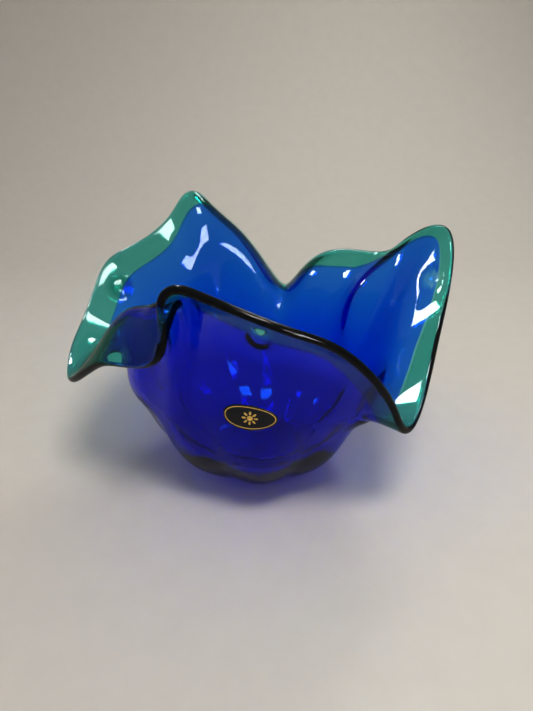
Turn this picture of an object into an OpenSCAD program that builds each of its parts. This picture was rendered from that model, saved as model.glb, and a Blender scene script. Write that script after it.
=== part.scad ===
// Free-blown art glass bowl with a wavy, pulled lip.
// Two gathers of glass: an inner cobalt one, and an aqua casing over it that alone forms the lip.
// The bowl stands on its ground foot, whose centre is the origin. +Z is up.

/* [Body] */
// Radius of the flat foot that the bowl rests on
foot_r = 26; // [20:1:32]
// Radius at which the underside starts to rise
toe_r = 33; // [32:1:40]
// Radius that the heel bulges towards
heel_r = 65; // [55:1:72]
// Height that the heel bulges at
heel_z = 22; // [14:1:30]
// Radius of the belly
belly_r = 74; // [60:1:90]
// Height of the belly
belly_z = 58; // [45:1:70]
// How far the blown body leans off the foot's centre, towards -X
lean = 2; // [0:0.5:4]

/* [Glass] */
// Glass under the floor of the bowl
floor_t = 10; // [7:0.5:14]
// Wall at the lip
lip_t = 4.6; // [3.5:0.1:6]
// Share of the wall that is cobalt at the floor
cobalt_low = 0.55; // [0.3:0.05:0.7]
// Share of the wall that is cobalt where the gather ends
cobalt_high = 0.18; // [0.12:0.02:0.3]
// Width of the lip band that has no cobalt in it
band_w = 13; // [8:1:20]

/* [Ribs] */
// Number of optic ribs around the body
rib_count = 9; // [6:1:14]
// Depth of the valleys between the ribs
rib_depth = 5; // [1:0.5:7]
// Azimuth of one rib's crest
rib_azimuth = 270; // [0:5:355]
// Share of that depth that shows on the inside
rib_inside = 0.6; // [0.3:0.1:0.8]

/* [Lip] */
// Reach of the furthest lobe beyond the belly
lobe_reach = 42; // [30:1:55]
// Rise of the tallest lobe above the belly's height
lobe_rise = 102; // [80:1:125]

/* [Label] */
// Length of the oval label
label_l = 30; // [20:1:34]
// Height of the oval label
label_h = 16; // [10:1:18]
// Clearance that keeps the adhesive off the casing's facets
glue_gap = 0.02; // [0.01:0.01:0.1]
// Thickness of the adhesive under the foil
glue_t = 0.15; // [0.1:0.05:0.3]
// Thickness of the foil
foil_t = 0.15; // [0.1:0.05:0.3]
// Thickness of the gilding on the foil
gilt_t = 0.1; // [0.1:0.05:0.2]
// Width of the gilded line near the label's edge
gilt_line_w = 0.6; // [0.4:0.1:1]
// Gap between the label's edge and the gilded line
gilt_margin = 0.9; // [0.6:0.1:1.5]
// Number of petals in the gilded rosette
petal_count = 8; // [5:1:12]
// Radius of the circle that the petals stand on
rosette_r = 3.2; // [2.4:0.1:4]
// Length of a petal
petal_l = 2.4; // [1.6:0.1:3]
// Width of a petal
petal_w = 1.3; // [0.8:0.1:1.6]
// Turn of the label on the glass, counter-clockwise
label_turn = -4; // [-10:1:10]

/* [Resolution] */
// Columns of facets from one lip station to the next
column_steps = 3; // [2:1:4]
// Rows of facets from the foot to the end of the cobalt
wall_rows = 16; // [10:1:20]
// Rows of facets across the lip band
band_rows = 3; // [2:1:5]
// Facets around the half-round lip
lip_facets = 6; // [3:1:8]

/* [Hidden] */

// The lip, station by station and counter-clockwise from above, as the gaffer pulled it.
// Each one: azimuth, reach beyond the belly, rise above the belly, flare of the edge from
// upright, length of the curl behind it, turn of the curl against the edge, bulge below, and
// share of the clear band's usual width.
STATIONS = [
    [-4, 38, 67, 40, 28, 0, 0, 0.8],
    [7, 41, 95, 35, 24, 0, 0, 0.5],
    [19, 33, 87, 35, 20, 0, -2, 0.5],
    [26, 25, 73, 60, 24, 0, -10, 0.6],
    [38, 21, 68, 45, 25, 0, -2, 1],
    [53, 19, 64, 55, 20, 0, 0, 0.9],
    [67, 19, 49, 80, 16, 0, 0, 0.6],
    [79, 24, 28, 95, 15, 0, 0, 0.5],
    [90, 19, 49, 92, 15, 0, 0, 0.4],
    [101, 21, 73, 90, 15, 0, 0, 0.3],
    [112, 25, 91, 85, 16, 0, 0, 0.4],
    [120, 29, 102, 60, 22, 0, 0, 0.9],
    [130, 28, 87, 40, 30, 0, 0, 1],
    [146, 30, 74, 45, 30, 0, 0, 1.1],
    [158, 36, 67, 50, 30, 0, 0, 1.2],
    [167, 38, 51, 55, 30, 0, 0, 1.2],
    [175, 41, 36, 65, 30, 0, 0, 1.2],
    [185, 42, 26, 100, 36, 0, 2, 1.2],
    [194, 41, 19, 128, 44, -6, 6, 1.3],
    [201, 35, 26, 138, 48, -8, 6, 1.5],
    [207, 28, 36, 146, 48, -9, 3, 1.7],
    [214, 22, 44, 150, 50, -9, 0, 1.8],
    [224, 16, 48, 155, 52, -6, 0, 1.8],
    [234, 14, 54, 160, 52, -4, 0, 1.7],
    [240, 14, 66, 145, 40, -3, 0, 1.4],
    [239, 11, 84, 110, 26, -2, 0, 1.3],
    [242, 7, 90, 75, 18, 0, 0, 1.2],
    [251, 8, 89, 45, 18, 0, 0, 0.9],
    [267, 12, 83, 35, 20, 0, 0, 0.9],
    [280, 16, 76, 40, 20, 0, 0, 0.9],
    [293, 19, 66, 50, 20, 0, 0, 0.9],
    [304, 24, 48, 60, 20, 0, 0, 1],
    [311, 28, 29, 75, 22, 0, 0, 1],
    [316, 31, 12, 90, 25, 0, 3, 1.1],
    [324, 32, 11, 75, 25, 0, 3, 1.1],
    [333, 32, 28, 55, 25, 0, 0, 1.1],
    [345, 33, 45, 45, 28, 0, 0, 1.1]
];
STATION_COUNT = len(STATIONS);
// The greatest reach and rise in that list
STATION_REACH = 42;
STATION_RISE = 102;

// Share of the way out and up to the lip at which the shoulder stands
SHOULDER_OUT = 0.35;
SHOULDER_UP = 0.45;
// Share of a station's bulge that also lowers the shoulder
BULGE_DROP = 0.15;
// Level up the wall, from 0 at the foot to 1 at the lip, by which the ribs have faded out
RIB_FADE = 0.62;
// Softness of the valleys between the ribs
VALLEY_SOFTNESS = 0.06;
// Where the label's centre lies, in stations around and as a level up the wall
LABEL_STATION = 27.95;
LABEL_LEVEL = 0.65;

REACH_SCALE = lobe_reach / STATION_REACH;
RISE_SCALE = lobe_rise / STATION_RISE;
LEAN = [-lean, 0, 0];

function station(i) = STATIONS[(i + STATION_COUNT) % STATION_COUNT];
function azimuth_of(i) = station(i)[0] + 360 * floor(i / STATION_COUNT);
function total(list, i = 0) = i == len(list) - 1 ? list[i] : list[i] + total(list, i + 1);
function mean(list) = total(list) / len(list);
function unit(a) = a / norm(a);
function polar(r, azimuth, z) = [r * cos(azimuth), r * sin(azimuth), z];

// The wall leaves the foot at the lip's own azimuths, evened out
function foot_azimuth(i) = mean([for (k = [-3:3]) azimuth_of(i + k)]);
function edge_r(i) = belly_r + station(i)[1] * REACH_SCALE;
function edge_z(i) = belly_z + station(i)[2] * RISE_SCALE;
function curl(i) = station(i)[4] * (REACH_SCALE + RISE_SCALE) / 2;
function throat_r(i) = edge_r(i) - curl(i) * sin(station(i)[3]);
function throat_z(i) = edge_z(i) - curl(i) * cos(station(i)[3]);
function shoulder_r(i) = belly_r + station(i)[6]
    + SHOULDER_OUT * ((throat_r(i) + edge_r(i)) / 2 - belly_r);
function shoulder_z(i) = belly_z + SHOULDER_UP * (edge_z(i) - belly_z) - BULGE_DROP * station(i)[6];

// Seven closed rows of points that shape the outer skin, from the foot to the lip
STATION_RANGE = [0:STATION_COUNT - 1];
ROWS = [
    [for (i = STATION_RANGE) polar(foot_r, foot_azimuth(i), 0)],
    [for (i = STATION_RANGE) polar(toe_r, foot_azimuth(i), 0)],
    [for (i = STATION_RANGE) polar(heel_r, foot_azimuth(i), heel_z) + LEAN],
    [for (i = STATION_RANGE) polar(belly_r, foot_azimuth(i), belly_z) + LEAN],
    [for (i = STATION_RANGE) polar(shoulder_r(i), (foot_azimuth(i) + station(i)[0]) / 2, shoulder_z(i))],
    [for (i = STATION_RANGE) polar(throat_r(i), station(i)[0] + station(i)[5], throat_z(i))],
    [for (i = STATION_RANGE) polar(edge_r(i), station(i)[0], edge_z(i))]
];

// Control points of the closed cubic spline through a row's points, found by relaxation
function beside(row, i) = row[(i + 1) % len(row)] + row[(i + len(row) - 1) % len(row)];
function relaxed(row, control, turns) = turns == 0 ? control
    : relaxed(row, [for (i = [0:len(row) - 1])
        control[i] / 2 + (6 * row[i] - beside(control, i)) / 8], turns - 1);
CAGE = [for (row = ROWS) relaxed(row, row, 14)];

function blend4(a, b, c, d, t) = (pow(1 - t, 3) * a + (3 * pow(t, 3) - 6 * t * t + 4) * b
    + (-3 * pow(t, 3) + 3 * t * t + 3 * t + 1) * c + pow(t, 3) * d) / 6;
function ring_at(row, i, t) = let (n = len(row))
    blend4(row[(i + n - 1) % n], row[i % n], row[(i + 1) % n], row[(i + 2) % n], t);
function column(u) = let (w = u - STATION_COUNT * floor(u / STATION_COUNT), i = floor(w))
    [for (row = CAGE) ring_at(row, i, w - i)];

// Weights of the seven rows at a level up the wall: a clamped cubic spline
KNOTS = [0, 0, 0, 0, 0.25, 0.5, 0.75, 1, 1, 1, 1];
TOP_LEVEL = 0.9999999;
function ramp(v, a, b) = b > a ? (v - a) / (b - a) : 0;
function fall(v, a, b) = b > a ? (b - v) / (b - a) : 0;
function basis(i, p, v) = p == 0 ? (KNOTS[i] <= v && v < KNOTS[i + 1] ? 1 : 0)
    : ramp(v, KNOTS[i], KNOTS[i + p]) * basis(i, p - 1, v)
    + fall(v, KNOTS[i + 1], KNOTS[i + p + 1]) * basis(i + 1, p - 1, v);
function weights(v) = let (w = min(max(v, 0), TOP_LEVEL)) [for (i = [0:6]) basis(i, 3, w)];

// Ribs push the wall in and out along the radius
function rib_wave(azimuth) = sqrt(pow(cos((azimuth - rib_azimuth) * rib_count / 2), 2) + VALLEY_SOFTNESS)
    - sqrt(1 + VALLEY_SOFTNESS);
function rib_weight(v) = v >= RIB_FADE || v <= 0 ? 0 : pow(sin(180 * v / RIB_FADE), 1.2);
function ribbed(p, v, depth) = let (azimuth = atan2(p.y, p.x))
    p + depth * rib_weight(v) * rib_wave(azimuth) * [cos(azimuth), sin(azimuth), 0];

// The two skins of the wall at a place around and a level up
STEP_U = 0.02;
STEP_V = 0.002;
function plain(u, v) = weights(v) * column(u);
function skin(u, v) = ribbed(plain(u, v), v, rib_depth);
function outward(u, v) = unit(cross(plain(u + STEP_U, v) - plain(u - STEP_U, v),
    plain(u, min(v + STEP_V, 1)) - plain(u, max(v - STEP_V, 0))));
function wall(v) = lip_t + (floor_t - lip_t) * pow(1 - v, 3);
function lining(u, v) = ribbed(plain(u, v) - wall(v) * outward(u, v), v, rib_depth * rib_inside);

// The level at which the cobalt ends: the band's width back from the lip, along the wall
TRACE_STEPS = 24;
function trace(points, i, run) = i < 0 ? []
    : let (longer = run + norm(points[i + 1] - points[i]))
    concat([[longer, i / TRACE_STEPS]], trace(points, i - 1, longer));
function runs(u) = concat([[0, 1]],
    trace([for (k = [0:TRACE_STEPS]) plain(u, k / TRACE_STEPS)], TRACE_STEPS - 1, 0));
function band_share(u) =
    let (i = floor(u))
    station(i)[7] + (u - i) * (station(i + 1)[7] - station(i)[7]);
function cobalt_end(u) = lookup(band_w * band_share(u), runs(u));

COLUMNS = STATION_COUNT * column_steps;
COLUMN_RANGE = [0:COLUMNS - 1];
ENDS = [for (i = COLUMN_RANGE) cobalt_end(i / column_steps)];
function level(i, k) = k <= wall_rows ? ENDS[i] * k / wall_rows
    : ENDS[i] + (1 - ENDS[i]) * (k - wall_rows) / band_rows;
LAST = wall_rows + band_rows;
OUTER = [for (k = [0:LAST]) [for (i = COLUMN_RANGE) skin(i / column_steps, level(i, k))]];
INNER = [for (k = [0:LAST]) [for (i = COLUMN_RANGE) lining(i / column_steps, level(i, k))]];

// Where the two gathers meet inside the wall
function cobalt_share(k) = cobalt_low + (cobalt_high - cobalt_low) * k / wall_rows;
SEAM = [for (k = [0:wall_rows]) INNER[k] + cobalt_share(k) * (OUTER[k] - INNER[k])];

// Half-round lip between the two skins
function lip_point(i, angle) = let (half = (OUTER[LAST][i] - INNER[LAST][i]) / 2,
    ahead = unit(OUTER[LAST][i] - OUTER[LAST - 1][i]))
    INNER[LAST][i] + half + cos(angle) * half + sin(angle) * norm(half) * ahead;
LIP = [for (s = [1:lip_facets - 1]) [for (i = COLUMN_RANGE) lip_point(i, 180 * s / lip_facets)]];

function rows_down(rows, from, to) = [for (k = [from:-1:to]) rows[k]];
function flat(rings) = [for (ring = rings) each ring];

// Two facets for each cell between one ring and the next. The cells of the seam are split on
// their other diagonal where they are passed downwards, so both gathers share every facet there.
function cells(k, n, other) = [for (i = [0:n - 1])
    let (j = (i + 1) % n, a = k * n, b = a + n)
    each other ? [[a + i, a + j, b + i], [a + j, b + j, b + i]]
        : [[a + i, b + j, b + i], [a + i, a + j, b + j]]];

// A closed solid from rings of equal length, with a fan at its first and at its last ring
module shell(rings, first_other, last_other) {
    n = len(rings[0]);
    count = len(rings);
    points = concat(flat(rings), [mean(rings[0]), mean(rings[count - 1])]);
    faces = concat(
        [for (k = [0:count - 2]) each cells(k, n, k >= first_other && k <= last_other)],
        [for (i = [0:n - 1]) [count * n, (i + 1) % n, i]],
        [for (i = [0:n - 1]) [count * n + 1, (count - 1) * n + i, (count - 1) * n + (i + 1) % n]]);
    polyhedron(points = points, faces = [for (f = faces) [f[2], f[1], f[0]]], convexity = 10);
}

module cobalt_gather() {
    color("mediumblue", 0.6)
        shell(concat(SEAM, rows_down(INNER, wall_rows, 0)), -1, -1);
}

module aqua_casing() {
    color("turquoise", 0.5)
        shell(concat(OUTER, LIP, rows_down(INNER, LAST, wall_rows), rows_down(SEAM, wall_rows, 0)),
            LAST + lip_facets + band_rows + 1, LAST + lip_facets + band_rows + wall_rows);
}

// The label's own plane is laid on the outer skin: millimetres along and up it become
// stations around and levels up the wall, by the slopes of the skin at the label's centre.
SLOPE_U = (skin(LABEL_STATION + STEP_U, LABEL_LEVEL) - skin(LABEL_STATION - STEP_U, LABEL_LEVEL))
    / (2 * STEP_U);
SLOPE_V = (skin(LABEL_STATION, LABEL_LEVEL + STEP_V) - skin(LABEL_STATION, LABEL_LEVEL - STEP_V))
    / (2 * STEP_V);
OUT = unit(cross(SLOPE_U, SLOPE_V));
ALONG_FLAT = unit(cross([0, 0, 1], OUT));
UP_FLAT = cross(OUT, ALONG_FLAT);
ALONG = cos(label_turn) * ALONG_FLAT + sin(label_turn) * UP_FLAT;
UP = cross(OUT, ALONG);
UU = SLOPE_U * SLOPE_U;
UV = SLOPE_U * SLOPE_V;
VV = SLOPE_V * SLOPE_V;
DETERMINANT = UU * VV - UV * UV;
function laid(p, height) = let (place = p.x * ALONG + p.y * UP,
    a = place * SLOPE_U,
    b = place * SLOPE_V,
    u = LABEL_STATION + (a * VV - b * UV) / DETERMINANT,
    v = LABEL_LEVEL + (b * UU - a * UV) / DETERMINANT)
    skin(u, v) + height * outward(u, v);

// A thin solid between two heights over a flat shape given as rings that widen
module laid_disc(rings, low, high) {
    n = len(rings[0]);
    last = len(rings);
    upper = [for (ring = rings) each [for (p = ring) laid(p, high)]];
    lower = [for (ring = rings) each [for (p = ring) laid(p, low)]];
    middle = mean(rings[0]);
    points = concat(upper, lower, [laid(middle, high), laid(middle, low)]);
    size = n * last;
    faces = concat(
        [for (k = [0:1:last - 2]) each cells(k, n, false)],
        [for (k = [0:1:last - 2]) each [for (f = cells(k, n, false)) [size + f[2], size + f[1], size + f[0]]]],
        [for (i = [0:n - 1]) let (j = (i + 1) % n, a = size - n + i, b = size - n + j)
            each [[a, b, b + size], [a, b + size, a + size]]],
        [for (i = [0:n - 1]) [2 * size, (i + 1) % n, i]],
        [for (i = [0:n - 1]) [2 * size + 1, size + i, size + (i + 1) % n]]);
    polyhedron(points = points, faces = faces, convexity = 4);
}

EDGE_POINTS = 48;
function oval(l, h, n) = [for (i = [0:n - 1]) [l / 2 * cos(360 * i / n), h / 2 * sin(360 * i / n)]];
// How far the adhesive stays back from the foil's edge
GLUE_MARGIN = 0.3;
FOIL_LOW = glue_gap + glue_t;
FOIL_HIGH = FOIL_LOW + foil_t;
GILT_HIGH = FOIL_HIGH + gilt_t;

module label_adhesive() {
    color("ivory")
        laid_disc([for (s = [0.25:0.25:1]) oval(s * (label_l - 2 * GLUE_MARGIN),
            s * (label_h - 2 * GLUE_MARGIN), EDGE_POINTS)], glue_gap, FOIL_LOW);
}

module label_foil() {
    color("black")
        laid_disc([for (s = [0.25:0.25:1]) oval(s * label_l, s * label_h, EDGE_POINTS)],
            FOIL_LOW, FOIL_HIGH);
}

// A ring as two ovals, one inside the other
module laid_ring(inner, outer, low, high) {
    n = len(outer);
    points = concat([for (p = outer) laid(p, high)], [for (p = inner) laid(p, high)],
        [for (p = inner) laid(p, low)], [for (p = outer) laid(p, low)]);
    faces = concat(
        [for (k = [0:2]) each [for (f = cells(k, n, false)) [f[2], f[1], f[0]]]],
        [for (i = [0:n - 1]) let (j = (i + 1) % n)
            each [[3 * n + i, i, j], [3 * n + i, j, 3 * n + j]]]);
    polyhedron(points = points, faces = faces, convexity = 4);
}

PETAL_POINTS = 12;
function petal(azimuth) = [for (p = oval(petal_l, petal_w, PETAL_POINTS))
    [cos(azimuth) * (rosette_r + p.x) - sin(azimuth) * p.y,
        sin(azimuth) * (rosette_r + p.x) + cos(azimuth) * p.y]];

module label_gilding() {
    color("gold") {
        laid_ring(oval(label_l - 2 * (gilt_margin + gilt_line_w), label_h - 2 * (gilt_margin + gilt_line_w),
            EDGE_POINTS), oval(label_l - 2 * gilt_margin, label_h - 2 * gilt_margin, EDGE_POINTS),
            FOIL_HIGH, GILT_HIGH);
        laid_disc([oval(rosette_r, rosette_r, PETAL_POINTS)], FOIL_HIGH, GILT_HIGH);
        for (k = [0:petal_count - 1])
            laid_disc([petal(360 * k / petal_count)], FOIL_HIGH, GILT_HIGH);
    }
}

cobalt_gather();
aqua_casing();
label_adhesive();
label_foil();
label_gilding();
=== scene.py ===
"""Looks of a free-blown art glass bowl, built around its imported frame.

The bowl is one wall of glass: an aqua casing whose closed skin carries every reflection and
refraction, and two layers inside that wall that only colour the light, a cobalt gather
along the lining and a deeper aqua stain in the band above it.
Sizes are in millimetres until a mesh is written, and in metres after that.
"""

import logging
import math
from abc import ABC, abstractmethod
from collections.abc import Iterable
from dataclasses import dataclass, field
from enum import Enum

import bpy
import numpy as np
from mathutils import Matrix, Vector


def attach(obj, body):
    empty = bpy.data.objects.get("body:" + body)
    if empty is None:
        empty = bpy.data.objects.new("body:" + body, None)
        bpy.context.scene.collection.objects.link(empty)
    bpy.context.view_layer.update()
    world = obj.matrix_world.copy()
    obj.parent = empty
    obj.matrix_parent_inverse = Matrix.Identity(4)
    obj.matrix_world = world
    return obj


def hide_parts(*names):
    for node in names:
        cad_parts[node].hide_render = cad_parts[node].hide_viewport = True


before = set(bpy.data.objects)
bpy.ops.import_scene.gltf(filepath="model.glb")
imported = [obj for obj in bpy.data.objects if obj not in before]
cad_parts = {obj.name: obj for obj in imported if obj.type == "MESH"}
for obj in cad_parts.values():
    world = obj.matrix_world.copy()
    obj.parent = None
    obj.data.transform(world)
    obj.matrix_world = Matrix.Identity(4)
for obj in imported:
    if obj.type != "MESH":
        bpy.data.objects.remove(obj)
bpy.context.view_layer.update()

LOG = logging.getLogger("bowl")
MM = 0.001
BODY = "root"
TINY = 1e-12

Faces = list[tuple[int, ...]]
Solid = tuple[np.ndarray, Faces]


# ---------------------------------------------------------------- the blown form


@dataclass(frozen=True)
class LipStation:
    """One place on the lip, as the gaffer pulled it.

    Args:
        azimuth: direction from the axis, in degrees, counter-clockwise from above.
        reach: how far the edge stands beyond the belly.
        rise: how far the edge stands above the belly.
        flare: lean of the edge from upright, in degrees; over 90 it hangs.
        curl: length of the wall that follows that lean.
        turn: turn of the curl against the edge, in degrees.
        bulge: how far the shoulder below swells.
        band: share of the usual width that the band without cobalt has here.
    """

    azimuth: float
    reach: float
    rise: float
    flare: float
    curl: float
    turn: float = 0.0
    bulge: float = 0.0
    band: float = 1.0


LIP_STATIONS: tuple[LipStation, ...] = tuple(
    LipStation(*row)
    for row in (
        (-4, 38, 67, 40, 28, 0, 0, 0.8),
        (7, 41, 95, 35, 24, 0, 0, 0.5),
        (19, 33, 87, 35, 20, 0, -2, 0.5),
        (26, 25, 73, 60, 24, 0, -10, 0.6),
        (38, 21, 68, 45, 25, 0, -2, 1),
        (53, 19, 64, 55, 20, 0, 0, 0.9),
        (67, 19, 49, 80, 16, 0, 0, 0.6),
        (79, 24, 28, 95, 15, 0, 0, 0.5),
        (90, 19, 49, 92, 15, 0, 0, 0.4),
        (101, 21, 73, 90, 15, 0, 0, 0.3),
        (112, 25, 91, 85, 16, 0, 0, 0.4),
        (120, 29, 102, 60, 22, 0, 0, 0.9),
        (130, 28, 87, 40, 30, 0, 0, 1),
        (146, 30, 74, 45, 30, 0, 0, 1.1),
        (158, 36, 67, 50, 30, 0, 0, 1.2),
        (167, 38, 51, 55, 30, 0, 0, 1.2),
        (175, 41, 36, 65, 30, 0, 0, 1.2),
        (185, 42, 26, 100, 36, 0, 2, 1.2),
        (194, 41, 19, 128, 44, -6, 6, 1.3),
        (201, 35, 26, 138, 48, -8, 6, 1.5),
        (207, 28, 36, 146, 48, -9, 3, 1.7),
        (214, 22, 44, 150, 50, -9, 0, 1.8),
        (224, 16, 48, 155, 52, -6, 0, 1.8),
        (234, 14, 54, 160, 52, -4, 0, 1.7),
        (240, 14, 66, 145, 40, -3, 0, 1.4),
        (239, 11, 84, 110, 26, -2, 0, 1.3),
        (242, 7, 90, 75, 18, 0, 0, 1.2),
        (251, 8, 89, 45, 18, 0, 0, 0.9),
        (267, 12, 83, 35, 20, 0, 0, 0.9),
        (280, 16, 76, 40, 20, 0, 0, 0.9),
        (293, 19, 66, 50, 20, 0, 0, 0.9),
        (304, 24, 48, 60, 20, 0, 0, 1),
        (311, 28, 29, 75, 22, 0, 0, 1),
        (316, 31, 12, 90, 25, 0, 3, 1.1),
        (324, 32, 11, 75, 25, 0, 3, 1.1),
        (333, 32, 28, 55, 25, 0, 0, 1.1),
        (345, 33, 45, 45, 28, 0, 0, 1.1),
    )
)


@dataclass(frozen=True)
class PressMark:
    """A round, shallow mark that the shaping tool left in the soft lining near the lip.

    Args:
        place: where it lies around the lip, in stations.
        level: where it lies up the wall.
        radius: its radius.
        depth: how far it moves the lining from the outer skin; negative thins the wall.
    """

    place: float
    level: float
    radius: float
    depth: float


PRESS_MARKS: tuple[PressMark, ...] = (
    PressMark(14.3, 0.955, 7.5, 2.6),
    PressMark(28.2, 0.94, 6.0, -2.2),
    PressMark(0.45, 0.95, 6.0, -1.6),
)


def unit(vectors: np.ndarray) -> np.ndarray:
    """Returns the vectors along the last axis at length one."""
    return vectors / (np.linalg.norm(vectors, axis=-1, keepdims=True) + TINY)


@dataclass
class BlownForm:
    """The outer skin of the bowl as a smooth law, and the lining behind it."""

    foot_radius: float = 26.0
    toe_radius: float = 33.0
    heel_radius: float = 65.0
    heel_height: float = 22.0
    belly_radius: float = 74.0
    belly_height: float = 58.0
    lean: float = 2.0
    floor_thickness: float = 10.0
    lip_thickness: float = 4.6
    rib_count: int = 9
    rib_depth: float = 5.0
    rib_azimuth: float = 270.0
    rib_inside: float = 0.6
    rib_fade: float = 0.62
    rib_onset: float = 1.2
    valley_softness: float = 0.06
    shoulder_out: float = 0.35
    shoulder_up: float = 0.45
    bulge_drop: float = 0.15
    stations: tuple[LipStation, ...] = LIP_STATIONS
    marks: tuple[PressMark, ...] = PRESS_MARKS
    cage: np.ndarray = field(init=False)

    STEP_AROUND = 0.02
    STEP_UP = 0.002
    TOP_LEVEL = 1 - 1e-7
    EVEN_REACH = 3
    FLOOR_FADE = 3
    MARK_EDGE = 6
    KNOTS = np.array([0, 0, 0, 0, 0.25, 0.5, 0.75, 1, 1, 1, 1])

    def __post_init__(self) -> None:
        """Works out the control points once."""
        self.cage = np.stack([self._spline_controls(row) for row in self._rows()])

    @staticmethod
    def _polar(
        radius: np.ndarray | float, azimuth: np.ndarray, height: np.ndarray | float
    ) -> np.ndarray:
        """Returns points from radius, azimuth in radians and height."""
        full = np.ones_like(azimuth)
        return np.stack([radius * np.cos(azimuth), radius * np.sin(azimuth), height * full], -1)

    def _rows(self) -> list[np.ndarray]:
        """Lays out the points that shape the skin.

        Returns:
            Seven rows from the foot to the lip, each with one point for each station.
        """
        table = np.array(
            [[s.azimuth, s.reach, s.rise, s.flare, s.curl, s.turn, s.bulge] for s in self.stations]
        )
        degrees, reach, rise, flare, curl, turn, bulge = table.T
        flare = np.radians(flare)
        beside = self.EVEN_REACH
        wrapped = np.concatenate([degrees[-beside:] - 360, degrees, degrees[:beside] + 360])
        even = np.array([wrapped[i : i + 2 * beside + 1].mean() for i in range(len(degrees))])
        lip, foot = np.radians(degrees), np.radians(even)
        edge_r = self.belly_radius + reach
        edge_z = self.belly_height + rise
        throat_r = edge_r - curl * np.sin(flare)
        throat_z = edge_z - curl * np.cos(flare)
        out = self.shoulder_out * ((throat_r + edge_r) / 2 - self.belly_radius)
        up = self.shoulder_up * rise - self.bulge_drop * bulge
        lean = np.array([-self.lean, 0.0, 0.0])
        return [
            self._polar(self.foot_radius, foot, 0.0),
            self._polar(self.toe_radius, foot, 0.0),
            self._polar(self.heel_radius, foot, self.heel_height) + lean,
            self._polar(self.belly_radius, foot, self.belly_height) + lean,
            self._polar(self.belly_radius + out + bulge, (foot + lip) / 2, self.belly_height + up),
            self._polar(throat_r, lip + np.radians(turn), throat_z),
            self._polar(edge_r, lip, edge_z),
        ]

    @staticmethod
    def _spline_controls(row: np.ndarray, turns: int = 14) -> np.ndarray:
        """Finds by relaxation the controls of the closed cubic spline through a row.

        Args:
            row: the points that the spline passes through.
            turns: how many rounds of relaxation.

        Returns:
            The control points, one for each point.
        """
        control = row.copy()
        for _ in range(turns):
            beside = np.roll(control, 1, 0) + np.roll(control, -1, 0)
            control = control / 2 + (6 * row - beside) / 8
        return control

    def _columns(self, places: np.ndarray) -> np.ndarray:
        """Blends the control points around the bowl by a cubic B-spline.

        Args:
            places: places around, in stations.

        Returns:
            The seven controls of each column.
        """
        count = self.cage.shape[1]
        base = np.floor(places).astype(int)
        t = (places - base)[None, :, None]
        shares = (
            (1 - t) ** 3,
            3 * t**3 - 6 * t**2 + 4,
            -3 * t**3 + 3 * t**2 + 3 * t + 1,
            t**3,
        )
        return sum(w * self.cage[:, (base + k - 1) % count] for k, w in enumerate(shares)) / 6

    def _weights(self, levels: np.ndarray) -> np.ndarray:
        """Finds the weights of the seven rows by the clamped cubic B-spline's recursion.

        Args:
            levels: levels up the wall.

        Returns:
            The weights at each level, on a new last axis.
        """
        v = np.clip(levels, 0, self.TOP_LEVEL)[..., None]
        knots = self.KNOTS
        basis = ((knots[:-1] <= v) & (v < knots[1:])).astype(float)
        for degree in (1, 2, 3):
            count = basis.shape[-1] - 1
            low, high = knots[:count], knots[degree : degree + count]
            next_low, next_high = knots[1 : count + 1], knots[degree + 1 : degree + 1 + count]
            span, next_span = high - low, next_high - next_low
            rise = np.where(span > 0, (v - low) / np.where(span > 0, span, 1), 0)
            fall = np.where(next_span > 0, (next_high - v) / np.where(next_span > 0, next_span, 1), 0)
            basis = rise * basis[..., :-1] + fall * basis[..., 1:]
        return basis

    def plain(self, places: np.ndarray, levels: np.ndarray) -> np.ndarray:
        """Returns the skin without its ribs.

        Args:
            places: places around, in stations, one for each column.
            levels: levels up the wall, from 0 at the foot to 1 at the lip, rows by columns.

        Returns:
            Points, rows by columns by three.
        """
        return np.einsum("mnk,knd->mnd", self._weights(levels), self._columns(places))

    def outward(self, places: np.ndarray, levels: np.ndarray) -> np.ndarray:
        """Finds the normals of the plain skin from small steps around and up.

        Args:
            places: places around, in stations.
            levels: levels up the wall, rows by columns.

        Returns:
            Unit vectors away from the glass, rows by columns by three.
        """
        step = self.STEP_AROUND
        around = self.plain(places + step, levels) - self.plain(places - step, levels)
        low = np.clip(levels - self.STEP_UP, 0, 1)
        high = np.clip(levels + self.STEP_UP, 0, 1)
        return unit(np.cross(around, self.plain(places, high) - self.plain(places, low)))

    def _ribs(self, points: np.ndarray, levels: np.ndarray, depth: float) -> np.ndarray:
        """Finds how far the ribs move each point.

        Args:
            points: points of a plain skin, rows by columns by three.
            levels: their levels up the wall.
            depth: depth of the ribs.

        Returns:
            Vectors towards the axis, deepest in the valleys between the ribs.
        """
        azimuth = np.arctan2(points[..., 1], points[..., 0])
        crest = np.cos((azimuth - math.radians(self.rib_azimuth)) * self.rib_count / 2) ** 2
        wave = np.sqrt(crest + self.valley_softness) - math.sqrt(1 + self.valley_softness)
        weight = np.sin(np.clip(levels / self.rib_fade, 0, 1) * math.pi) ** self.rib_onset
        radial = np.stack([np.cos(azimuth), np.sin(azimuth), np.zeros_like(azimuth)], -1)
        return (depth * weight * wave)[..., None] * radial

    def _dents(self, points: np.ndarray) -> np.ndarray:
        """Finds how far the press marks move the lining behind each point.

        Args:
            points: points of the plain skin, rows by columns by three.

        Returns:
            Distances away from the outer skin, rows by columns.
        """
        sunk = np.zeros(points.shape[:-1])
        for mark in self.marks:
            centre = self.plain(np.array([mark.place]), np.array([[mark.level]]))[0, 0]
            away = np.linalg.norm(points - centre, axis=-1) / mark.radius
            sunk += mark.depth * np.exp(-(away**self.MARK_EDGE))
        return sunk

    def wall(self, levels: np.ndarray) -> np.ndarray:
        """Returns the wall's thickness at each level."""
        extra = self.floor_thickness - self.lip_thickness
        return self.lip_thickness + extra * (1 - levels) ** self.FLOOR_FADE

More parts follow.
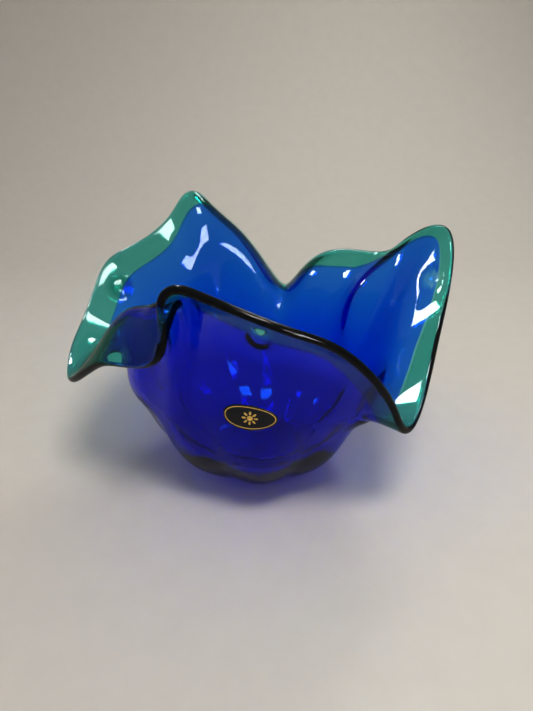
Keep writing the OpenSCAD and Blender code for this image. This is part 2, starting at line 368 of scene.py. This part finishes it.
    def skins(self, places: np.ndarray, levels: np.ndarray) -> tuple[np.ndarray, np.ndarray]:
        """Returns the outer skin and the lining.

        Args:
            places: places around, in stations.
            levels: levels up the wall, rows by columns.

        Returns:
            Two arrays of points, rows by columns by three.
        """
        base = self.plain(places, levels)
        normal = self.outward(places, levels)
        inner = base - self.wall(levels)[..., None] * normal
        sunk = self._dents(base)[..., None] * normal
        outer = base + self._ribs(base, levels, self.rib_depth)
        lining = inner + self._ribs(inner, levels, self.rib_depth * self.rib_inside) - sunk
        return outer, lining


# ---------------------------------------------------------------- meshes


def mesh_piece(
    name: str, points: np.ndarray, faces: Faces, smooth: bool = True
) -> bpy.types.Object:
    """Writes a mesh object from points in millimetres.

    Args:
        name: name of the piece.
        points: its vertices, in millimetres.
        faces: its faces, as indices into the points.
        smooth: whether the facets are shaded as one curve.

    Returns:
        The new object, linked to the scene.
    """
    mesh = bpy.data.meshes.new(name)
    mesh.from_pydata((points * MM).tolist(), [], faces)
    mesh.validate()
    if smooth:
        mesh.shade_smooth()
    piece = bpy.data.objects.new(name, mesh)
    bpy.context.scene.collection.objects.link(piece)
    return piece


def ring_faces(ring_count: int, size: int) -> Faces:
    """Lists the cells between neighbouring closed rings of equal size.

    Args:
        ring_count: how many rings there are.
        size: points in each ring.

    Returns:
        The faces, as indices.
    """
    faces = []
    for k in range(ring_count - 1):
        low = k * size
        for i in range(size):
            j = (i + 1) % size
            faces.append((low + i, low + j, low + size + j, low + size + i))
    return faces


def closed_loft(rings: list[np.ndarray]) -> Solid:
    """Joins rings into a closed skin with a fan at each end.

    Args:
        rings: closed rings of equal size, the first and the last around an end's centre.

    Returns:
        Points and faces of the skin.
    """
    size = len(rings[0])
    points = np.concatenate([*rings, rings[0].mean(0)[None], rings[-1].mean(0)[None]])
    faces = ring_faces(len(rings), size)
    first, last = len(rings) * size, len(rings) * size + 1
    top = (len(rings) - 1) * size
    for i in range(size):
        j = (i + 1) % size
        faces.append((first, j, i))
        faces.append((last, top + i, top + j))
    return points, faces


def closed_hoop(rings: list[np.ndarray]) -> Solid:
    """Joins rings into a closed hoop, the last ring to the first.

    Args:
        rings: closed rings of equal size, in order around the hoop's section.

    Returns:
        Points and faces of the hoop.
    """
    size = len(rings[0])
    faces = ring_faces(len(rings), size)
    last = (len(rings) - 1) * size
    for i in range(size):
        j = (i + 1) % size
        faces.append((last + i, last + j, j, i))
    return np.concatenate(rings), faces


def disc_rings(edge: np.ndarray, shares: tuple[float, ...]) -> list[np.ndarray]:
    """Returns smaller copies of a ring towards its centre."""
    centre = edge.mean(0)
    return [centre + share * (edge - centre) for share in shares]


# ---------------------------------------------------------------- finishes


class NodeKit:
    """Small helper that adds nodes to one material."""

    def __init__(self, name: str) -> None:
        """Starts an empty node material.

        Args:
            name: name of the material.
        """
        self.material = bpy.data.materials.new(name)
        self.material.use_nodes = True
        self.tree = self.material.node_tree
        self.tree.nodes.clear()
        self.output = self.add("ShaderNodeOutputMaterial")

    def add(self, kind: str) -> bpy.types.Node:
        """Adds a node of one kind."""
        return self.tree.nodes.new(kind)

    def link(self, source: bpy.types.Node, out: str, target: bpy.types.Node, into: str) -> None:
        """Links an output to an input."""
        self.tree.links.new(source.outputs[out], target.inputs[into])

    def principled(self, **inputs: object) -> bpy.types.Node:
        """Adds the main shader, linked to the output.

        Args:
            inputs: socket values, with underscores for the spaces in their names.

        Returns:
            The shader node.
        """
        shader = self.add("ShaderNodeBsdfPrincipled")
        for key, value in inputs.items():
            shader.inputs[key.replace("_", " ")].default_value = value
        self.link(shader, "BSDF", self.output, "Surface")
        return shader

    def noise(self, scale: float, detail: float = 2.0, roughness: float = 0.5) -> bpy.types.Node:
        """Adds noise in the object's own space.

        Args:
            scale: how fine the noise is, in turns to the metre.
            detail: how many finer layers it has.
            roughness: how strong the finer layers are.

        Returns:
            The noise node.
        """
        place = self.add("ShaderNodeTexCoord")
        noise = self.add("ShaderNodeTexNoise")
        noise.inputs["Scale"].default_value = scale
        noise.inputs["Detail"].default_value = detail
        noise.inputs["Roughness"].default_value = roughness
        self.link(place, "Object", noise, "Vector")
        return noise

    def ramp(
        self, source: bpy.types.Node, stops: list[tuple[float, tuple[float, ...]]]
    ) -> bpy.types.Node:
        """Adds a colour ramp driven by a noise.

        Args:
            source: the noise node.
            stops: places along the ramp and their colours.

        Returns:
            The ramp node.
        """
        ramp = self.add("ShaderNodeValToRGB")
        elements = ramp.color_ramp.elements
        while len(elements) < len(stops):
            elements.new(0.5)
        for element, (position, colour) in zip(elements, stops):
            element.position = position
            element.color = (*colour, 1.0)
        self.link(source, "Fac", ramp, "Fac")
        return ramp

    def bump(
        self, source: bpy.types.Node, shader: bpy.types.Node, strength: float, height: float
    ) -> None:
        """Bumps a shader's normal by a noise.

        Args:
            source: the noise node.
            shader: the shader to bump.
            strength: share of the full bump.
            height: height of the full bump, in metres.
        """
        bump = self.add("ShaderNodeBump")
        bump.inputs["Strength"].default_value = strength
        bump.inputs["Distance"].default_value = height
        self.link(source, "Fac", bump, "Height")
        self.link(bump, "Normal", shader, "Normal")


class Finish(ABC):
    """A finish that can be put on a piece."""

    @abstractmethod
    def build(self) -> bpy.types.Material:
        """Returns the finish as a new material."""

    def dress(self, piece: bpy.types.Object) -> None:
        """Puts the finish on a piece, in place of what it has."""
        piece.data.materials.clear()
        piece.data.materials.append(self.build())


@dataclass(frozen=True)
class StainedGlass(Finish):
    """Clear glass whose body soaks up light.

    Args:
        name: name of the finish.
        soaks: absorption in each millimetre, for red, green and blue.
        refraction: refractive index of the skin.
        waviness: height of the slow waves in the skin, in metres.
        gloss: strength of the skin's head-on reflections, 1 for plain glass.
        wave_scale: how close the waves stand, in turns to the metre.
    """

    name: str
    soaks: tuple[float, float, float]
    refraction: float
    waviness: float = 0.0
    gloss: float = 0.65
    wave_scale: float = 22.0

    HEADROOM = 1.01

    def build(self) -> bpy.types.Material:
        """Mixes the glass, with its absorption in the volume.

        Returns:
            The glass.
        """
        kit = NodeKit(self.name)
        shader = kit.principled(
            Base_Color=(1.0, 1.0, 1.0, 1.0),
            Roughness=0.0,
            IOR=self.refraction,
            Specular_Tint=(self.gloss, self.gloss, self.gloss, 1.0),
            Transmission_Weight=1.0,
        )
        if self.waviness > 0:
            waves = kit.noise(self.wave_scale, detail=1.0, roughness=0.4)
            kit.bump(waves, shader, strength=1.0, height=self.waviness)
        per_metre = [s / MM for s in self.soaks]
        density = max(per_metre) * self.HEADROOM
        volume = kit.add("ShaderNodeVolumeAbsorption")
        volume.inputs["Color"].default_value = (*[1 - s / density for s in per_metre], 1.0)
        volume.inputs["Density"].default_value = density
        kit.link(volume, "Volume", kit.output, "Volume")
        return kit.material


@dataclass(frozen=True)
class LabelFoil(Finish):
    """Black label foil with a faint crinkle."""

    name: str = "black_label_foil"
    black: tuple[float, float, float] = (0.006, 0.006, 0.008)
    lighter: float = 2.2
    mottle_scale: float = 900.0
    crinkle_scale: float = 260.0
    crinkle_height: float = 0.0002

    def build(self) -> bpy.types.Material:
        """Mixes the foil.

        Returns:
            The foil.
        """
        kit = NodeKit(self.name)
        shader = kit.principled(Roughness=0.34, Specular_IOR_Level=0.5)
        mottle = kit.noise(self.mottle_scale, detail=3.0, roughness=0.6)
        light = tuple(self.lighter * c for c in self.black)
        shade = kit.ramp(mottle, [(0.3, self.black), (0.75, light)])
        kit.link(shade, "Color", shader, "Base Color")
        crinkle = kit.noise(self.crinkle_scale, detail=3.0, roughness=0.55)
        kit.bump(crinkle, shader, strength=0.25, height=self.crinkle_height)
        return kit.material


@dataclass(frozen=True)
class GoldPrint(Finish):
    """Stamped gold, slightly worn."""

    name: str = "stamped_gold"
    gold: tuple[float, float, float] = (0.86, 0.62, 0.22)
    worn: tuple[float, float, float] = (0.62, 0.43, 0.15)
    wear_scale: float = 700.0
    wear_height: float = 0.0001

    def build(self) -> bpy.types.Material:
        """Mixes the gold.

        Returns:
            The gold.
        """
        kit = NodeKit(self.name)
        shader = kit.principled(Metallic=0.75, Roughness=0.42)
        wear = kit.noise(self.wear_scale, detail=3.0, roughness=0.6)
        colour = kit.ramp(wear, [(0.35, self.worn), (0.6, self.gold)])
        kit.link(colour, "Color", shader, "Base Color")
        kit.bump(wear, shader, strength=0.2, height=self.wear_height)
        return kit.material


@dataclass(frozen=True)
class LabelAdhesive(Finish):
    """Pale adhesive under the foil, set back from its edge."""

    name: str = "label_adhesive_film"
    dull: tuple[float, float, float] = (0.3, 0.31, 0.29)
    pale: tuple[float, float, float] = (0.42, 0.43, 0.4)
    cloud_scale: float = 500.0

    def build(self) -> bpy.types.Material:
        """Mixes the adhesive.

        Returns:
            The adhesive.
        """
        kit = NodeKit(self.name)
        shader = kit.principled(Roughness=0.6)
        cloud = kit.noise(self.cloud_scale)
        colour = kit.ramp(cloud, [(0.3, self.dull), (0.7, self.pale)])
        kit.link(colour, "Color", shader, "Base Color")
        return kit.material


@dataclass(frozen=True)
class StudioPaper(Finish):
    """Plain matt paper for the floor and the sweep behind it."""

    name: str = "studio_paper"
    colour: tuple[float, float, float] = (0.56, 0.53, 0.48)
    darker: float = 0.97
    tooth_scale: float = 60.0

    def build(self) -> bpy.types.Material:
        """Mixes the paper.

        Returns:
            The paper.
        """
        kit = NodeKit(self.name)
        shader = kit.principled(Roughness=0.85, Specular_IOR_Level=0.2)
        tooth = kit.noise(self.tooth_scale, detail=4.0, roughness=0.6)
        low = tuple(self.darker * c for c in self.colour)
        shade = kit.ramp(tooth, [(0.3, low), (0.7, self.colour)])
        kit.link(shade, "Color", shader, "Base Color")
        return kit.material


class GlassColour(Enum):
    """Absorption of each glass in a millimetre: red, green and blue."""

    AQUA = (0.1, 0.025, 0.025)
    BAND = (0.34, 0.095, 0.115)
    COBALT = (3.6, 1.3, 0.0)


# ---------------------------------------------------------------- the bowl


@dataclass
class GlassBowl:
    """The blown vessel: its casing, and the gather and the band's stain inside the wall."""

    form: BlownForm
    columns_per_station: int = 10
    wall_rows: int = 84
    band_rows: int = 12
    lip_rows: int = 12
    band_width: float = 13.0
    cobalt_low: float = 0.55
    cobalt_high: float = 0.18
    inset: float = 0.04
    foot_dish: float = 0.6
    blunt_swell: float = 0.5
    refraction: float = 1.5
    waviness: float = 0.0004
    places: np.ndarray = field(init=False)
    ends: np.ndarray = field(init=False)

    TRACE_STEPS = 60
    NO_BENDING = 1.0
    DISC_SHARES = (0.12, 0.35, 0.6, 0.82)
    BLUNT_SHARES = (0.75, 0.5, 0.25)
    RIPPLES = ((0.5, 7, 1.0), (0.35, 13, 2.2))

    def __post_init__(self) -> None:
        """Places the columns and finds where the cobalt ends in each."""
        count = len(self.form.stations) * self.columns_per_station
        self.places = np.arange(count) / self.columns_per_station
        self.ends = self._cobalt_ends()

    def _cobalt_ends(self) -> np.ndarray:
        """Finds where the cobalt ends, by the band's width back along the wall from the lip.

        The width follows the stations, with two small ripples, each given as its height,
        its waves around the bowl and its start.

        Returns:
            The level at which the cobalt ends, for each column.
        """
        levels = np.linspace(0, 1, self.TRACE_STEPS + 1)
        grid = np.repeat(levels[:, None], len(self.places), 1)
        wall = self.form.plain(self.places, grid)
        steps = np.linalg.norm(np.diff(wall, axis=0), axis=-1)
        back = np.concatenate([np.cumsum(steps[::-1], 0)[::-1], np.zeros((1, len(self.places)))])
        azimuth = np.arctan2(wall[-1, :, 1], wall[-1, :, 0])
        shares = np.array([s.band for s in self.form.stations])
        around = np.arange(len(shares) + 1)
        width = self.band_width * np.interp(self.places, around, np.append(shares, shares[0]))
        width += sum(rise * np.sin(waves * azimuth + start) for rise, waves, start in self.RIPPLES)
        return np.array([np.interp(-width[i], -back[:, i], levels) for i in range(len(self.places))])

    def _levels(self, rows: int, low: np.ndarray | float, high: np.ndarray | float) -> np.ndarray:
        """Returns rows of levels from low to high, for each column."""
        share = np.linspace(0, 1, rows + 1)[:, None]
        return low + (high - low) * share * np.ones_like(self.places)

    def _bead(self, outer: np.ndarray, lining: np.ndarray) -> list[np.ndarray]:
        """Rounds the lip from the outer skin over to the lining.

        Args:
            outer: points of the outer skin, rows by columns by three.
            lining: points of the lining, in the same rows and columns.

        Returns:
            The rings of the half-round lip, without its two edges.
        """
        half = (outer[-1] - lining[-1]) / 2
        ahead = unit(outer[-1] - outer[-2])
        reach = np.linalg.norm(half, axis=-1, keepdims=True)
        rings = []
        for step in range(1, self.lip_rows):
            angle = math.pi * step / self.lip_rows
            rings.append(lining[-1] + half + math.cos(angle) * half + math.sin(angle) * reach * ahead)
        return rings

    def casing(self) -> bpy.types.Object:
        """Builds the casing, the closed skin of the whole wall.

        Returns:
            The casing's mesh object.
        """
        lower = self._levels(self.wall_rows, 0.0, self.ends)
        band = self._levels(self.band_rows, self.ends, 1.0)[1:]
        outer, lining = self.form.skins(self.places, np.concatenate([lower, band]))
        shares = self.DISC_SHARES
        dish = [
            ring + np.array([0.0, 0.0, self.foot_dish * (1 - share**2)])
            for ring, share in zip(disc_rings(outer[0], shares), shares)
        ]
        rings = [
            *dish,
            *outer,
            *self._bead(outer, lining),
            *lining[::-1],
            *disc_rings(lining[0], shares[::-1]),
        ]
        return mesh_piece("aqua_casing_glass", *closed_loft(rings))

    def gather(self) -> bpy.types.Object:
        """Builds the gather, a layer just inside the lining.

        Returns:
            The gather's mesh object.
        """
        levels = self._levels(self.wall_rows, 0.0, self.ends)
        outer, lining = self.form.skins(self.places, levels)
        share = np.linspace(self.cobalt_low, self.cobalt_high, self.wall_rows + 1)[:, None, None]
        across = outer - lining
        seam = lining + share * across
        shy = lining + self.inset * unit(across)
        ahead = unit(seam[-1] - seam[-2])
        blunt = [
            shy[-1] + s * (seam[-1] - shy[-1]) + self.blunt_swell * math.sin(math.pi * s) * ahead
            for s in self.BLUNT_SHARES
        ]
        rings = [
            *disc_rings(seam[0], self.DISC_SHARES),
            *seam,
            *blunt,
            *shy[::-1],
            *disc_rings(shy[0], self.DISC_SHARES[::-1]),
        ]
        return mesh_piece("cobalt_gather_glass", *closed_loft(rings))

    def band(self) -> bpy.types.Object:
        """Builds the deeper stain in the band above the gather, a ring just inside the casing.

        Returns:
            The stain's mesh object.
        """
        levels = self._levels(2 * self.band_rows, self.ends, 1.0)
        outer, lining = self.form.skins(self.places, levels)
        shy = self.inset * unit(outer - lining)
        outer, lining = outer - shy, lining + shy
        rings = [*outer, *self._bead(outer, lining), *lining[::-1]]
        return mesh_piece("aqua_band_stain", *closed_hoop(rings))

    def build(self) -> list[bpy.types.Object]:
        """Builds and dresses the glass.

        Returns:
            The pieces.
        """
        casing = self.casing()
        skin = StainedGlass("aqua_glass", GlassColour.AQUA.value, self.refraction, self.waviness)
        skin.dress(casing)
        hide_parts("aqua_casing")
        band = self.band()
        StainedGlass("aqua_band_glass", GlassColour.BAND.value, self.NO_BENDING).dress(band)
        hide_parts("aqua_casing")
        gather = self.gather()
        StainedGlass("cobalt_glass", GlassColour.COBALT.value, self.NO_BENDING).dress(gather)
        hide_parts("cobalt_gather")
        pieces = [casing, band, gather]
        for piece in pieces:
            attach(piece, BODY)
        return pieces


# ---------------------------------------------------------------- the label


@dataclass
class OvalLabel:
    """The oval foil label on the front, laid on the outer skin."""

    form: BlownForm
    station: float = 27.95
    level: float = 0.65
    length: float = 30.0
    height: float = 16.0
    turn: float = -4.0
    glue: float = 0.15
    foil: float = 0.15
    gilt: float = 0.1
    glue_lift: float = 0.01
    foil_rounding: float = 0.05
    gilt_rounding: float = 0.1
    glue_margin: float = 0.3
    line_width: float = 0.6
    line_margin: float = 0.9
    petals: int = 8
    rosette_radius: float = 3.2
    petal_length: float = 2.4
    petal_width: float = 1.3
    edge_points: int = 120
    petal_points: int = 24
    along: np.ndarray = field(init=False)
    up: np.ndarray = field(init=False)
    to_law: np.ndarray = field(init=False)

    SLAB_SHARES = (0.2, 0.4, 0.6, 0.8)
    EDGE_SHARE = 0.6

    def __post_init__(self) -> None:
        """Finds the label's own directions, and how steps along them move over the skin."""
        du, dv = BlownForm.STEP_AROUND, BlownForm.STEP_UP
        around = (self._skin(du, 0.0) - self._skin(-du, 0.0)) / (2 * du)
        upward = (self._skin(0.0, dv) - self._skin(0.0, -dv)) / (2 * dv)
        out = unit(np.cross(around, upward))
        along_flat = unit(np.cross([0.0, 0.0, 1.0], out))
        up_flat = np.cross(out, along_flat)
        turn = math.radians(self.turn)
        self.along = math.cos(turn) * along_flat + math.sin(turn) * up_flat
        self.up = np.cross(out, self.along)
        metric = np.array([[around @ around, around @ upward], [around @ upward, upward @ upward]])
        self.to_law = np.linalg.inv(metric) @ np.stack([around, upward])

    def _skin(self, around: float, upward: float) -> np.ndarray:
        """Returns one point of the outer skin near the label's centre."""
        place = np.array([self.station + around])
        return self.form.skins(place, np.array([[self.level + upward]]))[0][0, 0]

    def lay(self, flat: np.ndarray, lift: float) -> np.ndarray:
        """Lays flat points of the label on the skin.

        Args:
            flat: points along and up the label, in millimetres.
            lift: height above the skin.

        Returns:
            The points in space.
        """
        steps = (flat[:, :1] * self.along + flat[:, 1:] * self.up) @ self.to_law.T
        places = self.station + steps[:, 0]
        levels = (self.level + steps[:, 1])[None]
        outer, _ = self.form.skins(places, levels)
        return outer[0] + lift * self.form.outward(places, levels)[0]

    def _oval(self, length: float, height: float, count: int) -> np.ndarray:
        """Returns the points of a flat oval."""
        angle = np.arange(count) * 2 * math.pi / count
        return np.stack([length / 2 * np.cos(angle), height / 2 * np.sin(angle)], -1)

    def _slab(self, outline: np.ndarray, low: float, high: float, rounding: float) -> Solid:
        """Returns a thin closed body over a flat outline.

        Args:
            outline: the flat outline, counter-clockwise.
            low: height of its underside above the skin.
            high: height of its top above the skin.
            rounding: how far the top's edge is drawn in.

        Returns:
            Points and faces.
        """
        centre = outline.mean(0)
        reach = np.linalg.norm(outline - centre, axis=-1, keepdims=True)
        drawn = centre + (outline - centre) * (1 - rounding / reach)
        edge = low + self.EDGE_SHARE * (high - low)
        rings = [self.lay(centre + s * (outline - centre), low) for s in self.SLAB_SHARES]
        rings += [self.lay(outline, low), self.lay(outline, edge), self.lay(drawn, high)]
        rings += [self.lay(centre + s * (drawn - centre), high) for s in self.SLAB_SHARES[::-1]]
        return closed_loft(rings)

    def _line(self, inner: np.ndarray, outer: np.ndarray, low: float, high: float) -> Solid:
        """Returns the points and faces of a thin closed line between two flat ovals."""
        corners = ((outer, low), (outer, high), (inner, high), (inner, low))
        return closed_hoop([self.lay(oval, lift) for oval, lift in corners])

    @staticmethod
    def _joined(parts: list[Solid]) -> Solid:
        """Joins several closed bodies into one.

        Args:
            parts: points and faces of each body.

        Returns:
            Points and faces of them all.
        """
        points, faces, start = [], [], 0
        for part_points, part_faces in parts:
            points.append(part_points)
            faces.extend(tuple(start + i for i in face) for face in part_faces)
            start += len(part_points)
        return np.concatenate(points), faces

    def gilding(self) -> Solid:
        """Draws the gold line along the edge and the plain rosette.

        Returns:
            Points and faces of the gold.
        """
        low = self.glue + self.foil
        high = low + self.gilt
        inset = 2 * self.line_margin
        inner = inset + 2 * self.line_width
        count = self.edge_points
        boss = self._oval(self.rosette_radius, self.rosette_radius, self.petal_points)
        petal = self._oval(self.petal_length, self.petal_width, self.petal_points)
        petal = petal + [self.rosette_radius, 0.0]
        parts = [
            self._line(
                self._oval(self.length - inner, self.height - inner, count),
                self._oval(self.length - inset, self.height - inset, count),
                low,
                high,
            ),
            self._slab(boss, low, high, self.gilt_rounding),
        ]
        for k in range(self.petals):
            angle = 2 * math.pi * k / self.petals
            cos, sin = math.cos(angle), math.sin(angle)
            turned = petal @ np.array([[cos, sin], [-sin, cos]])
            parts.append(self._slab(turned, low, high, self.gilt_rounding))
        return self._joined(parts)

    def build(self) -> list[bpy.types.Object]:
        """Builds and dresses the label.

        Returns:
            The pieces.
        """
        margin = 2 * self.glue_margin
        film = self._oval(self.length - margin, self.height - margin, self.edge_points)
        face = self._oval(self.length, self.height, self.edge_points)
        film_body = self._slab(film, self.glue_lift, self.glue, 0.0)
        face_body = self._slab(face, self.glue, self.glue + self.foil, self.foil_rounding)
        gold_body = self.gilding()
        film_piece = mesh_piece("label_adhesive_film", *film_body)
        face_piece = mesh_piece("label_foil_face", *face_body)
        gold_piece = mesh_piece("label_gold_print", *gold_body, smooth=False)
        plan = (
            (film_piece, LabelAdhesive(), "label_adhesive", "clear_adhesive"),
            (face_piece, LabelFoil(), "label_foil", "black_foil"),
            (gold_piece, GoldPrint(), "label_gilding", "gold_print"),
        )
        pieces = []
        for piece, finish, node, slot in plan:
            finish.dress(piece)
            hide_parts(node)
            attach(piece, BODY)
            pieces.append(piece)
        return pieces


# ---------------------------------------------------------------- the studio


@dataclass(frozen=True)
class SoftLight:
    """One area light that looks at a point.

    Args:
        name: name of the light.
        at: where it stands, in metres.
        toward: the point it looks at, in metres.
        size: its width and height, in metres.
        watts: its power.
        colour: its colour.
        reflections_only: whether it shows in the glass without lighting the floor.
    """

    name: str
    at: tuple[float, float, float]
    toward: tuple[float, float, float]
    size: tuple[float, float]
    watts: float
    colour: tuple[float, float, float] = (1.0, 1.0, 1.0)
    reflections_only: bool = False

    def build(self) -> bpy.types.Object:
        """Sets up the light and links it to the scene.

        Returns:
            The light.
        """
        data = bpy.data.lights.new(self.name, "AREA")
        data.shape = "RECTANGLE"
        data.size, data.size_y = self.size
        data.energy = self.watts
        data.color = self.colour
        light = bpy.data.objects.new(self.name, data)
        light.location = self.at
        light.visible_diffuse = not self.reflections_only
        aim = Vector(self.toward) - Vector(self.at)
        light.rotation_euler = aim.to_track_quat("-Z", "Y").to_euler()
        bpy.context.scene.collection.objects.link(light)
        return light


@dataclass
class Studio:
    """Floor and sweep, room, lights and camera; lengths in metres, the sensor in millimetres."""

    floor_half: float = 1.6
    front: float = -1.6
    bend_start: float = 0.42
    bend_radius: float = 0.45
    wall_top: float = 2.0
    camera_at: tuple[float, float, float] = (0.004, -0.305, 0.240)
    camera_pitch: float = 28.0
    focal_width: float = 534.0
    picture_width: float = 533.0
    sensor: float = 36.0
    clip_start: float = 0.01
    room_greys: tuple[tuple[float, float], ...] = ((0.0, 0.12), (0.5, 0.26), (1.0, 0.55))
    room_blue: float = 1.02
    glass_bounces: int = 40
    gloss_bounces: int = 12
    paper_bounces: int = 4
    clear_bounces: int = 32
    exposure: float = 0.45
    gamma: float = 0.72
    lights: tuple[SoftLight, ...] = (
        SoftLight(
            "ceiling_window", (0.12, -0.36, 0.92), (0.0, 0.0, 0.05), (0.34, 0.2), 4.4,
            colour=(1.0, 0.98, 0.96),
        ),
        SoftLight(
            "back_window", (0.3, 0.62, 0.8), (0.0, 0.0, 0.08), (0.3, 0.22), 1.8,
            colour=(0.95, 0.98, 1.0),
        ),
        SoftLight(
            "left_window", (-0.66, 0.1, 0.54), (0.1, 0.0, 0.1), (0.2, 0.12), 1.9,
            reflections_only=True,
        ),
        SoftLight(
            "back_pane", (-0.3, 0.62, 0.8), (0.0, 0.0, 0.08), (0.14, 0.22), 1.3,
            reflections_only=True,
        ),
        SoftLight(
            "front_window", (0.52, -0.85, 0.5), (0.0, -0.08, 0.14), (0.45, 0.42), 9.0,
            reflections_only=True,
        ),
    )

    BEND_STEPS = 24

    def sweep(self) -> bpy.types.Object:
        """Builds the floor that bends up into a plain wall behind.

        Returns:
            The sweep's mesh object.
        """
        profile = [(self.front, 0.0), (self.bend_start, 0.0)]
        for step in range(1, self.BEND_STEPS + 1):
            angle = math.pi / 2 * step / self.BEND_STEPS
            along = self.bend_start + self.bend_radius * math.sin(angle)
            profile.append((along, self.bend_radius * (1 - math.cos(angle))))
        profile.append((self.bend_start + self.bend_radius, self.wall_top))
        points = []
        for y, z in profile:
            points += [(-self.floor_half, y, z), (self.floor_half, y, z)]
        faces = [(2 * k, 2 * k + 1, 2 * k + 3, 2 * k + 2) for k in range(len(profile) - 1)]
        sweep = mesh_piece("studio_sweep", np.array(points) / MM, faces)
        StudioPaper().dress(sweep)
        return sweep

    def world(self) -> None:
        """Lights the room softly, brighter above than around and below."""
        world = bpy.data.worlds.new("studio_room")
        world.use_nodes = True
        bpy.context.scene.world = world
        tree = world.node_tree
        background = tree.nodes["Background"]
        place = tree.nodes.new("ShaderNodeTexCoord")
        split = tree.nodes.new("ShaderNodeSeparateXYZ")
        ramp = tree.nodes.new("ShaderNodeValToRGB")
        elements = ramp.color_ramp.elements
        elements.new(0.5)
        for element, (position, grey) in zip(elements, self.room_greys):
            element.position = position
            element.color = (grey, grey, self.room_blue * grey, 1.0)
        shift = tree.nodes.new("ShaderNodeMapRange")
        shift.inputs["From Min"].default_value = -1.0
        tree.links.new(place.outputs["Generated"], split.inputs[0])
        tree.links.new(split.outputs["Z"], shift.inputs["Value"])
        tree.links.new(shift.outputs["Result"], ramp.inputs["Fac"])
        tree.links.new(ramp.outputs["Color"], background.inputs["Color"])
        background.inputs["Strength"].default_value = 1.0

    def camera(self) -> bpy.types.Object:
        """Stands the camera and makes it the scene's.

        Returns:
            The camera.
        """
        data = bpy.data.cameras.new("studio_camera")
        data.sensor_fit = "HORIZONTAL"
        data.sensor_width = self.sensor
        data.lens = self.focal_width / self.picture_width * self.sensor
        data.clip_start = self.clip_start
        camera = bpy.data.objects.new("studio_camera", data)
        camera.location = self.camera_at
        camera.rotation_euler = (math.radians(90 - self.camera_pitch), 0.0, 0.0)
        bpy.context.scene.collection.objects.link(camera)
        bpy.context.scene.camera = camera
        return camera

    def light_paths(self) -> None:
        """Lets light pass through every wall of glass, and sets exposure and gamma."""
        scene = bpy.context.scene
        scene.cycles.max_bounces = self.glass_bounces
        scene.cycles.transmission_bounces = self.glass_bounces
        scene.cycles.glossy_bounces = self.gloss_bounces
        scene.cycles.diffuse_bounces = self.paper_bounces
        scene.cycles.transparent_max_bounces = self.clear_bounces
        scene.view_settings.view_transform = "Standard"
        scene.view_settings.exposure = self.exposure
        scene.view_settings.gamma = self.gamma

    def build(self) -> None:
        """Builds the whole studio."""
        self.sweep()
        self.world()
        for light in self.lights:
            light.build()
        self.camera()
        self.light_paths()


# ---------------------------------------------------------------- the whole


def main() -> None:
    """Builds the bowl, its label and the studio, and logs the faces of each piece."""
    logging.basicConfig(level=logging.INFO)
    form = BlownForm()
    for piece in GlassBowl(form).build() + OvalLabel(form).build():
        LOG.info("%s: %d faces", piece.name, len(piece.data.polygons))
    Studio().build()


if __name__ == "__main__":
    main()
